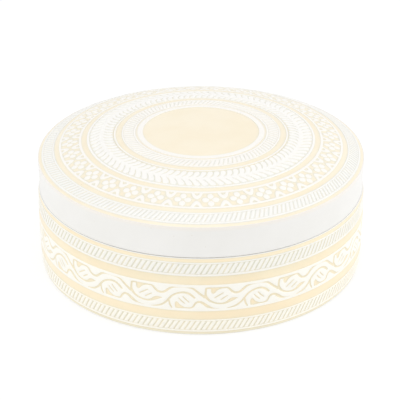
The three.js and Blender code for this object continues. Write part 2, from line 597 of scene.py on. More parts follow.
def carvedBand(spec, surface, measure, material):
    tile = makeTile(spec, measure)
    places, width = tile["places"], tile["width"]
    tall, poolAndShade = carvedShape(spec, places[:, 1], *tile["values"])
    count = spec["count"]
    # A point on the right side of a repeat is the one on the left side of the next
    own = np.ones(len(places), bool)
    own[tile["right"]] = False
    number = np.cumsum(own) - 1
    number[tile["right"]] = number[tile["left"]]
    shift = np.where(own, 0, 1)
    repeat = np.arange(count)[:, None]
    joined = number + own.sum() * ((repeat + shift) % count)
    up = np.tile(places[own, 1], count)
    turn = spreadTurn(spec, ((repeat + places[own, 0] / width) / count).ravel())
    uneven = 1 + slowWave(turn, spec["wavy"])
    relief = np.tile(tall[own], count)
    relief = np.where(relief > 0, np.minimum(relief * uneven, 1), relief)
    radius, height = surface(up, relief * porcelain["relief"])
    rings = [np.stack([radius, height, turn + np.radians(spec["lean"](up))], -1)]
    bottom, top = tile["bottom"][:-1], tile["top"][:-1]
    for row in (bottom, top):
        away, level = surface(places[row, 1], -porcelain["backDepth"])
        backTurn = spreadTurn(spec, (repeat + places[row, 0] / width) / count)
        backTurn = backTurn + np.radians(spec["lean"](places[row, 1]))
        rings.append(np.stack([away + 0 * backTurn, level + 0 * backTurn, backTurn], -1).reshape(-1, 3))
    steps = len(bottom)
    backLow = len(rings[0]) + np.arange(count * steps)
    backHigh = backLow + count * steps
    radius, height, turn = np.concatenate(rings).T
    triangles = joined[:, tile["triangles"]].reshape(-1, 3)
    rowsRound = [joined[:, bottom].ravel(), backLow, backHigh, joined[:, top].ravel()]
    quads = [
        np.stack([np.roll(near, -1), near, far, np.roll(far, -1)], -1)
        for near, far in zip(rowsRound, rowsRound[1:])
    ]
    faces = np.concatenate([np.concatenate([triangles, triangles[:, 2:]], 1), *quads])
    uvs = carvedUvs(spec, tile, steps)
    if spec["outwards"]:
        isTriangle = faces[:, 2] == faces[:, 3]
        faces = faces[:, ::-1].copy()
        uvs = uvs[:, ::-1].copy()
        # A triangle keeps its repeated corner at the end
        faces[isTriangle] = np.roll(faces[isTriangle], -1, 1)
        uvs[isTriangle] = np.roll(uvs[isTriangle], -1, 1)
    hidden = np.zeros(2 * count * steps)
    marks = {
        "relief": np.concatenate([relief, hidden]),
        "poolAndShade": np.concatenate([np.tile(poolAndShade[own], count), hidden]),
    }
    points = aroundAxis(radius, turn, height)
    return addMesh(spec["name"], points, faces, uvs, marks, np.zeros(len(faces)), [material])


def carvedShape(spec, up, edge, vein=None):
    # Height of the carving, as a share of the relief, and where the glaze gathers; in narrow grooves this
    # pool colour also stands for painted shade
    foot, brink = spec["levels"][0][0], spec["levels"][0][2]
    tall = smoothStep(foot, brink, edge)
    tall = tall * (1 - spec["pillow"] * np.exp(-np.maximum(edge - brink, 0) / spec["pillowReach"]))
    poolAndShade = poolAndShadeBeside(foot - edge)
    if vein is not None:
        cutIn = 1 - smoothStep(spec["levels"][1][0], spec["levels"][1][-1], vein)
        tall = tall * (1 - spec["veinDepth"] * cutIn)
    return tall + dipOutside(up, spec["low"], spec["high"]), poolAndShade


# Distances from an edge at which the triangles of a flank have their corners
carvedEdge = (-0.1, -0.02, 0.06, 0.22)


def standUpright(up):
    return 0 * up


# Leaf-like bars in two rows that meet in a chevron

def chevronLean(up):
    # The bars bend most beside the middle line, more so in the inner row
    spec = chevrons
    reach = np.clip(np.abs(up - spec["middle"]) / spec["bendReach"], 0, 1)
    bend = spec["slant"] - spec["innerTurn"]
    innerLean = spec["innerTurn"] + bend * (1 - reach) ** spec["innerBend"]
    outerLean = spec["slant"] * (1 - reach) ** spec["outerBend"]
    return -np.where(up < spec["middle"], innerLean, outerLean)


chevrons = {
    "name": "lid_chevrons",
    "low": 34.2, "high": 44.6,
    "middle": 38.9, "tips": (34.55, 43.4), "highFillet": 0.8,
    "slant": 4.0, "innerTurn": 0.4, "bendReach": 4.4, "innerBend": 2.6, "outerBend": 1.9,
    # Half width of a bar, as a share of the repeat, from the middle line to its tip
    "innerLeaf": [
        (0.0, 0.53), (0.1, 0.5), (0.14, 0.44), (0.25, 0.365), (0.42, 0.355), (0.58, 0.385), (0.74, 0.4),
        (0.88, 0.35), (0.96, 0.29), (1.0, 0.22),
    ],
    "outerLeaf": [
        (0.0, 0.53), (0.14, 0.5), (0.19, 0.44), (0.28, 0.385), (0.44, 0.39), (0.66, 0.41), (0.8, 0.395),
        (0.9, 0.35), (0.96, 0.3), (1.0, 0.22),
    ],
    "count": 92, "phase": 0.1, "lean": chevronLean, "reference": 38.8,
    "pillow": 0.2, "pillowReach": 0.25,
    "wavy": [(3, 0.03, 0.4), (7, 0.02, 2.0)],
    "levels": [carvedEdge], "grid": 0.09, "step": 0.27, "fill": 0.6, "acrossSteps": 5,
    "strips": 2, "outwards": True,
}


def chevronMeasure(x, y):
    spec = chevrons
    repeat = 2 * math.pi * spec["middle"] / spec["count"]
    leafLow, leafHigh = spec["tips"]
    rightSide = []
    for reach, share in smoothCurve(spec["innerLeaf"])[::-1]:
        up = spec["middle"] - reach * (spec["middle"] - leafLow)
        rightSide.append((share * repeat * up / spec["middle"], up))
    for reach, share in smoothCurve(spec["outerLeaf"])[1:]:
        up = spec["middle"] + reach * (leafHigh - spec["middle"])
        rightSide.append((share * repeat * up / spec["middle"], up))
    outline = np.array(rightSide + [(-side, up) for side, up in rightSide[::-1]])
    slanting = 0.95  # the slant of the bars brings their edges nearer
    edge = np.full(x.shape, -farOff)
    for neighbour in (-1, 0, 1):
        away = (x - repeat * (0.5 + neighbour)) * y / spec["middle"]
        edge = np.maximum(edge, depthInPatch(outline, away, y) * slanting)
    strip = np.minimum(y - spec["high"] + spec["highFillet"], spec["high"] - y)
    return [np.maximum(edge, strip)]


# Flowers and crosses of the wide band on the lid

lattice = {
    "name": "lid_lattice",
    "low": 46.85, "high": 55.6,
    "lowFillet": 0.95, "highFillet": 0.85,
    "flowerUp": 51.38,
    # Right halves of the outlines, as places from the middle of a cross or of a flower
    "innerArm": [
        (2.3, 46.95), (2.0, 48.0), (1.8, 48.7), (1.56, 49.4), (1.3, 49.95), (0.95, 50.42),
        (0.55, 50.78), (0.2, 50.92),
    ],
    "innerMouth": [(1.15, 47.4), (1.0, 47.9), (0.76, 48.4), (0.44, 48.82), (0.12, 49.08)],
    "outerArm": [
        (0.2, 51.82), (0.62, 52.05), (1.04, 52.5), (1.38, 53.05), (1.62, 53.55), (1.86, 54.05),
        (2.14, 54.6), (2.5, 55.3),
    ],
    "outerMouth": [(0.12, 53.6), (0.4, 53.92), (0.7, 54.25), (0.94, 54.6), (1.12, 55.0)],
    "petalUp": [
        (0.1, 0.5), (0.5, 0.64), (0.85, 0.93), (1.02, 1.3), (1.1, 1.9), (0.94, 2.55), (0.6, 3.0),
        (0.15, 3.2),
    ],
    "petalDown": [
        (0.1, 0.5), (0.5, 0.64), (0.85, 0.93), (1.06, 1.35), (1.14, 1.9), (0.98, 2.5), (0.6, 2.98),
        (0.15, 3.15),
    ],
    "petalSide": [
        (0.1, 0.5), (0.5, 0.64), (0.87, 0.93), (1.1, 1.35), (1.2, 1.9), (1.04, 2.5), (0.64, 2.92),
        (0.15, 3.08),
    ],
    # Cut between two petals: place sideways and up from the middle, and half width
    "petalCut": [(0.3, 0.3, 0.16), (0.9, 0.9, 0.1), (1.45, 1.45, 0.12)],
    "count": 32, "phase": -7.31, "lean": standUpright, "reference": 51.2,
    "pillow": 0.3, "pillowReach": 0.4, "veinDepth": 0.4,
    "wavy": [(2, 0.03, 1.0), (5, 0.02, 0.2)],
    "levels": [carvedEdge, (0.0, 0.2)], "grid": 0.1, "step": 0.3, "fill": 0.66, "acrossSteps": 16,
    "strips": 4, "outwards": True,
}


def bothSides(points):
    right = smoothCurve(points)
    return np.concatenate([right, (right * [-1, 1])[::-1]])


def latticeMeasure(x, y):
    spec = lattice
    repeat = 2 * math.pi * spec["reference"] / spec["count"]
    away = (x - repeat / 2) * y / spec["reference"]
    edge = np.full(x.shape, -farOff)
    cut = np.full(x.shape, farOff)
    for arm, mouth in (("innerArm", "innerMouth"), ("outerArm", "outerMouth")):
        solid = depthInPatch(bothSides(spec[arm]), away, y)
        hollow = depthInPatch(bothSides(spec[mouth]), away, y)
        edge = np.maximum(edge, np.minimum(solid, -hollow))
    for middle in (0, repeat):
        beside = (x - middle) * y / spec["reference"]
        up = y - spec["flowerUp"]
        edge = np.maximum(edge, depthInPatch(bothSides(spec["petalUp"]), beside, -up))
        edge = np.maximum(edge, depthInPatch(bothSides(spec["petalDown"]), beside, up))
        edge = np.maximum(edge, depthInPatch(bothSides(spec["petalSide"]), up, np.abs(beside)))
        cut = np.minimum(cut, distanceToLine(np.array(spec["petalCut"]), np.abs(beside), np.abs(up)))
    lowStrip = np.minimum(y - spec["low"], spec["low"] + spec["lowFillet"] - y)
    highStrip = np.minimum(y - spec["high"] + spec["highFillet"], spec["high"] - y)
    return [np.maximum(edge, np.maximum(lowStrip, highStrip)), cut]


# Running vine of the body

vine = {
    "name": "body_vine",
    "low": 10.5, "high": 21.62,
    "count": 15, "phase": -10.97, "spread": 0.0205, "lean": standUpright, "reference": body["radius"],
    "pillow": 0.3, "pillowReach": 0.5, "veinDepth": 0.88,
    "wavy": [(2, 0.03, 0.7), (3, 0.02, 2.6)],
    "levels": [(*carvedEdge, 0.55), (0.0, 0.2)], "grid": 0.12, "step": 0.24, "fill": 0.7,
    "acrossSteps": 40, "strips": 5, "outwards": False,
    # Channels that draw the vine: along the wall, height, and half width there
    "channels": [
        [
            (14.2, 19.8, 0.38), (14.45, 20.2, 0.33), (15.2, 20.32, 0.3), (16.6, 20.25, 0.3),
            (18.6, 20.26, 0.3), (20.4, 20.28, 0.27), (21.6, 20.26, 0.28), (22.35, 19.92, 0.36),
            (22.9, 19.3, 0.4), (23.5, 18.6, 0.42), (24.2, 18.08, 0.42), (25.1, 17.85, 0.42),
            (25.9, 17.9, 0.42), (26.7, 18.28, 0.42), (27.4, 18.85, 0.42), (28.1, 19.5, 0.42),
            (28.7, 19.95, 0.38), (29.5, 20.25, 0.3), (30.5, 20.4, 0.14), (32.2, 20.46, 0.05),
            (34.0, 20.46, 0.05), (35.4, 20.38, 0.15), (36.3, 20.26, 0.27), (37.0, 19.98, 0.36),
            (37.8, 19.32, 0.4), (38.6, 18.56, 0.42), (39.4, 17.85, 0.42), (40.2, 17.2, 0.44),
            (41.0, 16.55, 0.48),
        ],
        [
            (14.3, 20.1, 0.36), (14.15, 19.1, 0.34), (14.08, 18.1, 0.36), (14.1, 17.2, 0.44),
            (14.45, 16.35, 0.5), (15.0, 15.6, 0.44), (15.7, 14.95, 0.38), (16.6, 14.4, 0.33),
            (17.6, 13.98, 0.3), (18.6, 13.74, 0.3), (19.6, 13.64, 0.31), (20.6, 13.7, 0.36),
            (21.4, 13.92, 0.42), (22.1, 14.28, 0.52), (22.8, 14.75, 0.66), (23.5, 15.12, 0.68),
            (24.3, 15.35, 0.52), (25.1, 15.5, 0.26), (25.6, 15.56, 0.1),
        ],
        [
            (21.3, 11.56, 0.05), (22.4, 11.68, 0.14), (23.4, 11.86, 0.25), (24.3, 12.08, 0.33),
            (25.1, 12.42, 0.35), (25.9, 12.92, 0.35), (26.7, 13.58, 0.36), (27.3, 14.18, 0.38),
            (27.8, 14.88, 0.4), (28.25, 15.5, 0.38), (28.8, 16.2, 0.35), (29.45, 16.86, 0.34),
            (30.25, 17.42, 0.33), (31.2, 17.9, 0.33), (32.2, 18.24, 0.35), (33.2, 18.4, 0.38),
            (34.1, 18.37, 0.4), (34.95, 18.14, 0.41), (35.75, 17.73, 0.42), (36.45, 17.18, 0.42),
            (37.1, 16.52, 0.38), (37.35, 16.24, 0.34),
        ],
        [
            (0.85, 15.3, 0.34), (1.05, 14.4, 0.31), (1.16, 13.65, 0.3), (1.32, 13.0, 0.3),
            (1.62, 12.35, 0.3), (1.9, 11.85, 0.27), (2.0, 11.62, 0.2),
        ],
        [
            (4.3, 11.9, 0.3), (5.6, 12.0, 0.28), (6.6, 11.96, 0.22), (7.6, 11.88, 0.2),
            (8.5, 11.92, 0.24), (9.3, 12.12, 0.3), (9.8, 12.65, 0.33), (10.1, 13.3, 0.35),
            (10.6, 14.0, 0.38), (11.3, 14.44, 0.4), (12.0, 14.5, 0.42), (12.7, 14.28, 0.46),
            (13.4, 13.8, 0.52), (14.1, 13.2, 0.56), (14.8, 12.65, 0.54), (15.5, 12.24, 0.42),
            (16.2, 11.96, 0.28), (17.0, 11.76, 0.14), (18.5, 11.62, 0.05), (21.3, 11.56, 0.05),
        ],
    ],
    # Pockets of ground inside the curled lobes of the leaves
    "pockets": [
        [
            (15.95, 20.4), (16.0, 19.3), (16.15, 18.45), (16.62, 17.98), (17.25, 18.1),
            (17.8, 18.78), (18.6, 19.48), (19.7, 19.92), (21.0, 20.1), (21.0, 20.4),
        ],
        [
            (3.22, 11.72), (3.1, 12.7), (3.1, 13.75), (3.42, 14.35), (3.92, 14.4), (4.4, 13.92),
            (4.85, 13.3), (5.5, 12.78), (6.3, 12.3), (6.6, 11.8), (5.0, 11.66),
        ],
    ],
    "veins": [
        [(17.3, 16.15, 0.1), (18.6, 17.0, 0.17), (20.4, 18.15, 0.1)],
        [(19.5, 15.25, 0.1), (20.4, 15.88, 0.16), (21.8, 16.8, 0.1)],
        [(6.0, 16.75, 0.1), (6.85, 15.7, 0.17), (8.15, 14.35, 0.1)],
        [(4.6, 15.9, 0.09), (5.5, 14.8, 0.15), (6.6, 13.8, 0.09)],
    ],
}


def vineMeasure(x, y):
    spec = vine
    repeat = 2 * math.pi * spec["reference"] / spec["count"]
    beyond = 2  # a curve further outside the repeat than this has no say in it
    edge = np.minimum(y - spec["low"], spec["high"] - y)
    vein = np.full(x.shape, farOff)

    def isNear(curve):
        return curve[:, 0].max() > -beyond and curve[:, 0].min() < repeat + beyond

    for shift in (-2 * repeat, -repeat, 0, repeat):
        for channel in spec["channels"]:
            curve = smoothCurve(channel, 3) + [shift, 0, 0]
            if isNear(curve):
                edge = np.minimum(edge, distanceToLine(curve, x, y))
        for pocket in spec["pockets"]:
            outline = smoothCurve(pocket + pocket[:1], 3)[:-1] + [shift, 0]
            if isNear(outline):
                edge = np.minimum(edge, -depthInPatch(outline, x, y))
        for line in spec["veins"]:
            curve = smoothCurve(line, 3) + [shift, 0, 0]
            if isNear(curve):
                vein = np.minimum(vein, distanceToLine(curve, x, y))
    return [edge, vein]


# Profiles of the two fired pieces, walked counter-clockwise from axis to axis

# Material numbers of the shells
glazed, plain, bare, outer = range(4)


# Points along a rounded corner, and the greatest share of a side that a rounding takes up
roundSteps = (0, 0.15, 0.35, 0.5, 0.65, 0.85, 1)
sideShare = 0.49


def roundedPath(corners):
    # Each corner is (radius, height, rounding, finish of the stretch that follows)
    points = []
    finishes = []
    for index, (radius, height, rounding, finish) in enumerate(corners):
        here = np.array([radius, height])
        if rounding == 0 or index in (0, len(corners) - 1):
            points.append(here)
            finishes.append(finish)
            continue
        towards = [np.array(corners[index + step][:2]) - here for step in (-1, 1)]
        cut = [min(rounding, np.hypot(*way) * sideShare) / np.hypot(*way) for way in towards]
        start = here + towards[0] * cut[0]
        end = here + towards[1] * cut[1]
        for t in roundSteps:
            points.append((1 - t) ** 2 * start + 2 * t * (1 - t) * here + t * t * end)
            finishes.append(finish)
    return np.array(points), np.array(finishes)


# Rows of ground beside a band, by their distance from it
nearEdge = (0.0, 0.12, 0.26, 0.45, 0.75)


def groundStretch(surface, start, end, step, startsAtBand=True, endsAtBand=True):
    # Cream ground, with rows close together where it meets a band
    way = 1 if end > start else -1
    length = abs(end - start)
    places = list(np.linspace(0, length, max(2, round(length / step) + 1)))
    beside = [gap for gap in nearEdge if gap < length / 2]
    reach = beside[-1] + 0.15  # the even rows begin a little beyond the close ones
    if startsAtBand:
        places = beside + [place for place in places if place > reach]
    if endsAtBand:
        places = [place for place in places if place < length - reach]
        places += [length - gap for gap in beside[::-1]]
    return [(*surface(start + way * place, 0.0), 0, glazed) for place in places]


def hiddenStretch(surface, start, end):
    # Where a carved band covers the wall, the shell lies a little deeper
    inset, rows = 0.5 * (1 if end > start else -1), 5
    places = np.linspace(start + inset, end - inset, rows)
    return [(*surface(place, -porcelain["coverDepth"]), 0, glazed) for place in places]


def raisedRing(surface, start, end):
    halfFlank = porcelain["flank"] / 2 * (1 if end > start else -1)
    top = porcelain["relief"]
    footRound, topRound = 0.06, 0.12
    return [
        (*surface(start, 0.0), footRound, glazed),
        (*surface(start + halfFlank, top), topRound, glazed),
        (*surface(end - halfFlank, top), topRound, glazed),
        (*surface(end, 0.0), footRound, glazed),
    ]


def shellMarks(along, rise, outside, bandEdges):
    # relief and pool for the points of a shell's profile
    gap = np.abs(along[:, None] - np.array(bandEdges)).min(1)
    relief = np.where(outside, rise / porcelain["relief"], 1)
    return {"relief": relief, "poolAndShade": np.where(outside, poolAndShadeBeside(gap), 0)}


bodyShell = {
    "name": "body_shell", "turnSteps": 360,
    "shadeAbove": 0.48,    # painted shade on the cream between vine and upper rope, as a share of a full pool
    "footPoolAndShade": 0.7,      # and below the lower rope: gathered glaze together with painted shade near the table
    "thinFoot": 0.3,      # how far the white clay shows through there
    "aboveFade": 0.5,     # stretches over which these come and go
    "footFade": 0.3,
    "brinkFrom": 0.6,     # painted shade of the lid at the brink, measured down from the shoulder
    "brinkTo": 0.1,
}
lidShell = {
    "name": "lid_shell", "turnSteps": 360,
    "crownEdge": 63.75,   # radius at which the crown's glaze meets that of the side
    "thinRim": 0.6,       # how far the white clay shows through at the rim
    "thinRimFrom": 63.4,
    "thinBetween": 0.42,  # and between the ring in the middle and the rope
    "warmFrom": -1.2,     # the side turns from white to cream, measured from its upper edge
    "warmTo": 0.6,
}


def makeBodyShell(materials):
    footOuter = onWall(0, 0.0)[0]
    footInner = footOuter - body["footEdge"] - body["footWidth"]
    ledge = body["height"] + body["shoulderRaise"]
    shoulder = onWall(body["height"], 0.0)[0]
    brinkLow = body["height"] - 0.2
    collarTop = body["collarTop"]
    bowl, floor = body["bowlRadius"], body["floorTop"]
    bands = (lowerRope, vine, upperRope)
    covered = [hiddenStretch(onWall, band["low"], band["high"]) for band in bands]
    # A corner without rounding only adds a row to a long stretch
    corners = [
        (0, body["footHollow"], 0, plain),
        (footInner * 0.5, body["footHollow"], 0, plain),
        (footInner - body["footSlope"], body["footHollow"], body["hollowEdge"], plain),
        (footInner, 0, body["footInnerEdge"], bare),
        (footOuter, 0, body["footEdge"], outer),
        (*onWall(body["footEdge"] + 0.06, 0.0), 0, outer),
        *groundStretch(onWall, body["footEdge"] + 0.12, lowerRope["low"], 0.2, startsAtBand=False),
        *covered[0],
        *groundStretch(onWall, lowerRope["high"], vine["low"], 0.7),
        *covered[1],
        *groundStretch(onWall, vine["high"], upperRope["low"], 0.7),
        *covered[2],
        *groundStretch(onWall, upperRope["high"], brinkLow, 0.2, endsAtBand=False),
        (shoulder, ledge, body["shoulderEdge"], plain),
        (shoulder - body["shoulderWidth"], ledge, 0, bare),
        (body["collarOuter"], ledge, body["seatEdge"], bare),
        (body["collarOuter"], collarTop, body["collarEdge"], bare),
        (body["collarInner"], collarTop, body["collarEdge"], plain),
        (body["collarInner"], body["height"], body["collarRound"], plain),
        (bowl, body["height"] - body["collarBlend"], body["bowlRound"], plain),
        (bowl, floor + 8, 0, plain),
        (bowl, floor, body["floorFillet"], plain),
        (bowl - 9, floor, 0, plain),
        (bowl * 0.4, floor, 0, plain),
        (0, floor, 0, plain),
    ]
    profile, finish = roundedPath(corners)
    radius, height = profile.T
    # No glaze gathers over the upper rope, so its high edge is left out
    bandEdges = [band[side] for band in bands for side in ("low", "high")][:-1]
    outside = (finish == glazed) & (radius > bowl)
    marks = shellMarks(height, radius - onWall(height, 0.0)[0], outside, bandEdges)
    # Painted shade darkens the cream above the vine and at the brink under the lid; over the foot the
    # darkening is gathered glaze together with painted shade near the table
    above = smoothStep(vine["high"] - bodyShell["aboveFade"], upperRope["low"], height)
    above = above * (height < upperRope["low"] + 1)
    fromShoulder = height - body["height"]
    brink = smoothStep(-bodyShell["brinkFrom"], -bodyShell["brinkTo"], fromShoulder)
    foot = 1 - smoothStep(lowerRope["low"], lowerRope["low"] + bodyShell["footFade"], height)
    shadeAndThickGlaze = bodyShell["shadeAbove"] * above + brink + bodyShell["footPoolAndShade"] * foot
    marks["poolAndShade"] = np.where(outside, marks["poolAndShade"] + shadeAndThickGlaze * (1 - marks["poolAndShade"]), marks["poolAndShade"])
    marks["relief"] = np.maximum(marks["relief"], bodyShell["thinFoot"] * foot)
    seat = (height > body["height"]) & (height < ledge + 0.01) & (radius > body["collarOuter"])
    return turnedPiece(bodyShell, profile, marks, finish, materials, seat * body["shoulderWarp"])


middleFillet = {"inner": 33.4, "outer": 34.1}
centreRing = {"inner": 22.75, "outer": 24.9}


def makeLidShell(materials):
    base = lid["base"]
    bend, rows = lid["innerRadius"] - lid["innerFillet"], 12
    under = [
        (radius, onCrown(radius, 0.0)[1] - lid["crownThickness"], 0, plain)
        for radius in np.linspace(0, bend, rows)
    ]
    springHeight = under[-1][1] - 0.4
    side = base + lid["sideHeight"]
    bands = (rimRope, lattice, chevrons, innerRope)
    covered = [hiddenStretch(onCrown, band["high"], band["low"]) for band in bands]
    corners = [
        *under[:-1],
        (lid["innerRadius"], springHeight, lid["innerFillet"], plain),
        (lid["innerRadius"], base + lid["bareHeight"], 0, bare),
        (lid["innerRadius"], base, lid["lipEdge"], bare),
        (lid["radius"], base, lid["lipEdge"], outer),
        (lid["radius"], base + 1.2, 0, outer),
        (lid["radius"], side - 1, 0, outer),
        (lid["radius"], side + lid["shoulderHeight"], lid["shoulderEdge"], outer),
        (*onCrown(lidShell["crownEdge"], 0.0), 0, glazed),
        *groundStretch(onCrown, 63.6, rimRope["high"], 0.2, startsAtBand=False),
        *covered[0],
        *groundStretch(onCrown, rimRope["low"], lattice["high"], 0.5),
        *covered[1],
        *groundStretch(onCrown, lattice["low"], chevrons["high"], 0.6),
        *covered[2],
        (*onCrown(chevrons["low"], 0.0), 0, glazed),
        *raisedRing(onCrown, middleFillet["outer"], middleFillet["inner"]),
        *groundStretch(onCrown, middleFillet["inner"], innerRope["high"], 0.6)[1:],
        *covered[3],
        *groundStretch(onCrown, innerRope["low"], centreRing["outer"], 0.3)[:-1],
        *raisedRing(onCrown, centreRing["outer"], centreRing["inner"]),
        *groundStretch(onCrown, centreRing["inner"], 1.5, 1.8, endsAtBand=False)[1:],
        (0, lid["top"], 0, glazed),
    ]
    profile, finish = roundedPath(corners)
    radius, height = profile.T
    bandEdges = [band[end] for band in bands for end in ("low", "high")]
    bandEdges += [*middleFillet.values(), *centreRing.values()]
    outside = (finish == glazed) & (height > side)
    marks = shellMarks(radius, height - onCrown(radius, 0.0)[1], outside, bandEdges)
    # Between ring and rope lies only a thin glaze, and it thins again over the rim
    between = (radius > centreRing["outer"]) & (radius < innerRope["low"])
    marks["relief"] = np.maximum(marks["relief"], np.where(between, lidShell["thinBetween"], 0))
    thin = smoothStep(lidShell["thinRimFrom"], lidShell["crownEdge"], radius) * lidShell["thinRim"]
    marks["relief"] = np.where(outside, np.maximum(marks["relief"], thin), 1)
    # The side turns from white to cream towards the rim
    turned = (finish == outer) & (radius > lid["innerRadius"] + 2)
    warm = smoothStep(side + lidShell["warmFrom"], side + lidShell["warmTo"], height)
    marks["poolAndShade"] = np.where(turned, warm, marks["poolAndShade"] * (1 - thin))
    return turnedPiece(lidShell, profile, marks, finish, materials)


# Shader groups that the glazes share

def feed(tree, socket, value):
    # A socket takes a number, a colour or what another node gives
    if isinstance(value, (int, float)):
        socket.default_value = value
    elif isinstance(value, tuple):
        socket.default_value = (*value, 1)
    else:
        tree.links.new(value, socket)


def newGroup(name, inputs, outputs):
    group = bpy.data.node_groups.new(name, "ShaderNodeTree")
    for socketName, value in inputs.items():
        socket = group.interface.new_socket(socketName, in_out="INPUT", socket_type="NodeSocketFloat")
        socket.default_value = value
    for socketName in outputs:
        group.interface.new_socket(socketName, in_out="OUTPUT", socket_type="NodeSocketFloat")
    return group, group.nodes.new("NodeGroupInput").outputs, group.nodes.new("NodeGroupOutput").inputs


def addMath(tree, operation, *values):
    node = tree.nodes.new("ShaderNodeMath")
    node.operation = operation
    for index, value in enumerate(values):
        feed(tree, node.inputs[index], value)
    return node.outputs[0]


def addNoise(tree, scale, detail=2.0, roughness=0.5):
    # Noise fixed to the object, so that it moves with the piece
    place = tree.nodes.new("ShaderNodeTexCoord")
    noise = tree.nodes.new("ShaderNodeTexNoise")
    noise.inputs["Detail"].default_value = detail
    noise.inputs["Roughness"].default_value = roughness
    feed(tree, noise.inputs["Vector"], place.outputs["Object"])
    feed(tree, noise.inputs["Scale"], scale)
    return noise.outputs["Fac"]


def addRange(tree, value, fromLow, fromHigh, toLow=0.0, toHigh=1.0):
    node = tree.nodes.new("ShaderNodeMapRange")
    node.interpolation_type = "SMOOTHSTEP"
    feed(tree, node.inputs["Value"], value)
    feed(tree, node.inputs["From Min"], fromLow)
    feed(tree, node.inputs["From Max"], fromHigh)
    feed(tree, node.inputs["To Min"], toLow)
    feed(tree, node.inputs["To Max"], toHigh)
    return node.outputs["Result"]


def makeGlazePoolAndShade():
    # Raised is 1 where the white clay stands proud; the second output is where the glaze gathers at its
    # foot, and in narrow grooves it is also painted shade
    inputs = {"Relief": 0.0, "Gather": 0.0, "Line": 0.5, "Blur": 0.2, "Wander": 0.1, "Wander Size": 900.0}
    group, entry, leave = newGroup("glaze_pool_and_shade", inputs, ["Raised", "Pool And Shade"])
    noise = addNoise(group, entry["Wander Size"])
    centred = addMath(group, "SUBTRACT", noise, 0.5)
    level = addMath(group, "MULTIPLY_ADD", centred, entry["Wander"], entry["Relief"])
    low = addMath(group, "SUBTRACT", entry["Line"], entry["Blur"])
    high = addMath(group, "ADD", entry["Line"], entry["Blur"])
    raised = addRange(group, level, low, high)
    notRaised = addMath(group, "SUBTRACT", 1.0, raised)
    patchy = addRange(group, addNoise(group, 260.0), 0.25, 0.7, 0.55, 1.0)
    gathered = addMath(group, "MULTIPLY", entry["Gather"], patchy)
    feed(group, leave["Raised"], raised)
    feed(group, leave["Pool And Shade"], addMath(group, "MULTIPLY", gathered, notRaised))
    return group


def makeGlazeSurface():
    # Slow waves and fine orange peel of a fired glaze, with a cloudiness for tone and gloss
    inputs = {
        "Wave Size": 60.0, "Wave Height": 1.0, "Peel Size": 700.0, "Peel Height": 0.2, "Cloud Size": 25.0,
    }
    group, entry, leave = newGroup("glaze_surface", inputs, ["Height", "Cloud"])
    wave = addNoise(group, entry["Wave Size"], 1.0)
    peel = addNoise(group, entry["Peel Size"])
    waveHeight = addMath(group, "MULTIPLY", wave, entry["Wave Height"])
    cloud = addNoise(group, entry["Cloud Size"], 4.0, 0.6)
    feed(group, leave["Height"], addMath(group, "MULTIPLY_ADD", peel, entry["Peel Height"], waveHeight))
    feed(group, leave["Cloud"], addRange(group, cloud, 0.3, 0.7))
    return group


def makeKilnSpecks():
    # Pin-point iron specks, few and faint
    group, entry, leave = newGroup("kiln_specks", {"Size": 420.0, "Amount": 0.05}, ["Speck"])
    place = group.nodes.new("ShaderNodeTexCoord")
    cells = group.nodes.new("ShaderNodeTexVoronoi")
    feed(group, cells.inputs["Vector"], place.outputs["Object"])
    feed(group, cells.inputs["Scale"], entry["Size"])
    parts = group.nodes.new("ShaderNodeSeparateColor")
    feed(group, parts.inputs["Color"], cells.outputs["Color"])
    chosen = addMath(group, "LESS_THAN", parts.outputs["Red"], entry["Amount"])
    spot = addRange(group, cells.outputs["Distance"], 0.08, 0.2, 1.0, 0.0)
    feed(group, leave["Speck"], addMath(group, "MULTIPLY", chosen, spot))
    return group


def placeGroup(tree, group, values):
    node = tree.nodes.new("ShaderNodeGroup")
    node.node_tree = group
    for name, value in values.items():
        feed(tree, node.inputs[name], value)
    return node.outputs


def mixColour(tree, factor, first, second):
    node = tree.nodes.new("ShaderNodeMix")
    node.data_type = "RGBA"
    # A mix node has more sockets of these names, so they are taken by number
    for index, value in ((0, factor), (6, first), (7, second)):
        feed(tree, node.inputs[index], value)
    return node.outputs[2]


def linear(red, green, blue):
    # Colour as it is written for the screen, 0 to 255, to the shader's own scale
    def one(value):
        share = value / 255
        return share / 12.92 if share <= 0.04045 else ((share + 0.055) / 1.055) ** 2.4
    return one(red), one(green), one(blue)


# cloud holds the two tones that the cloudiness runs between. A glaze over the relief has a colour for the
# pools and one for the raised clay, a plain one a warmer tone to turn to. In ropes and chevrons the pool
# colour is grey: painted shade in their narrow grooves over thinly gathered glaze
reliefGlaze = {
    "surface": {
        "Wave Size": 90.0, "Wave Height": 1.0, "Peel Size": 1500.0, "Peel Height": 0.25, "Cloud Size": 45.0,
    },
    "edge": {"Line": 0.5, "Blur": 0.25, "Wander": 0.16, "Wander Size": 1400.0},
    "specks": {"Size": 520.0, "Amount": 0.02},
    "speckShare": 0.25, "speckColour": linear(196, 178, 140),
    "roughness": (0.3, 0.38), "bump": 0.3, "bumpDepth": 0.00004,
    "coat": {"Coat Weight": 0.25, "Coat Roughness": 0.16},
}
wallGlaze = {
    **reliefGlaze,
    "cloud": (linear(250, 237, 207), linear(249, 232, 199)),
    "poolAndShade": linear(233, 224, 195), "raised": linear(249, 247, 239),
}
# The grey pool colours of the ropes and chevrons below are painted shade in the grooves between their bars
wallRopeGlaze = {**wallGlaze, "poolAndShade": linear(229, 225, 204), "raised": linear(252, 249, 239)}
